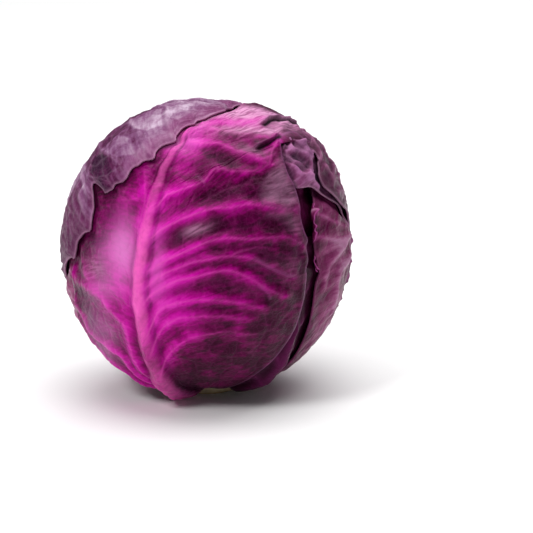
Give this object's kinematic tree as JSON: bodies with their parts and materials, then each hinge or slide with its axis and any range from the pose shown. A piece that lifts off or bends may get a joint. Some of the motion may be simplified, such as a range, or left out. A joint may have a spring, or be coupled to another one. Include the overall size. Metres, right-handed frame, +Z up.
{
  "type": "cabbage head",
  "caption": "Whole head of red cabbage: broad waxy wrapper leaves with raised ribs folded round a tight heart, resting on the flat cut of its stem.",
  "frame": {"origin": "centre of the flat cut face of the stem, which the head rests on", "axes": "+Z up along the core, -Y towards the front of the head with the ribbed pink leaf, +X to its right as seen from the front"},
  "size_m": [0.1614, 0.1622, 0.1624],
  "materials": {
    "inner_leaf": "waxy",
    "right_leaf": "waxy",
    "crumpled_leaf": "dry, crumpled",
    "left_leaf": "waxy",
    "shoulder_leaf": "waxy",
    "front_leaf": "satin, lightly waxed",
    "cap_leaf": "matt, waxy bloom",
    "back_leaf": "waxy",
    "heart": "satin",
    "stem": "matt, moist cut"
  },
  "bodies": {
    "root": {"inner_leaf": "inner_leaf", "right_leaf": "right_leaf", "crumpled_leaf": "crumpled_leaf", "left_leaf": "left_leaf", "shoulder_leaf": "shoulder_leaf", "front_leaf": "front_leaf", "cap_leaf": "cap_leaf", "back_leaf": "back_leaf", "heart": "heart", "stem": "stem"}
  },
  "joints": []
}
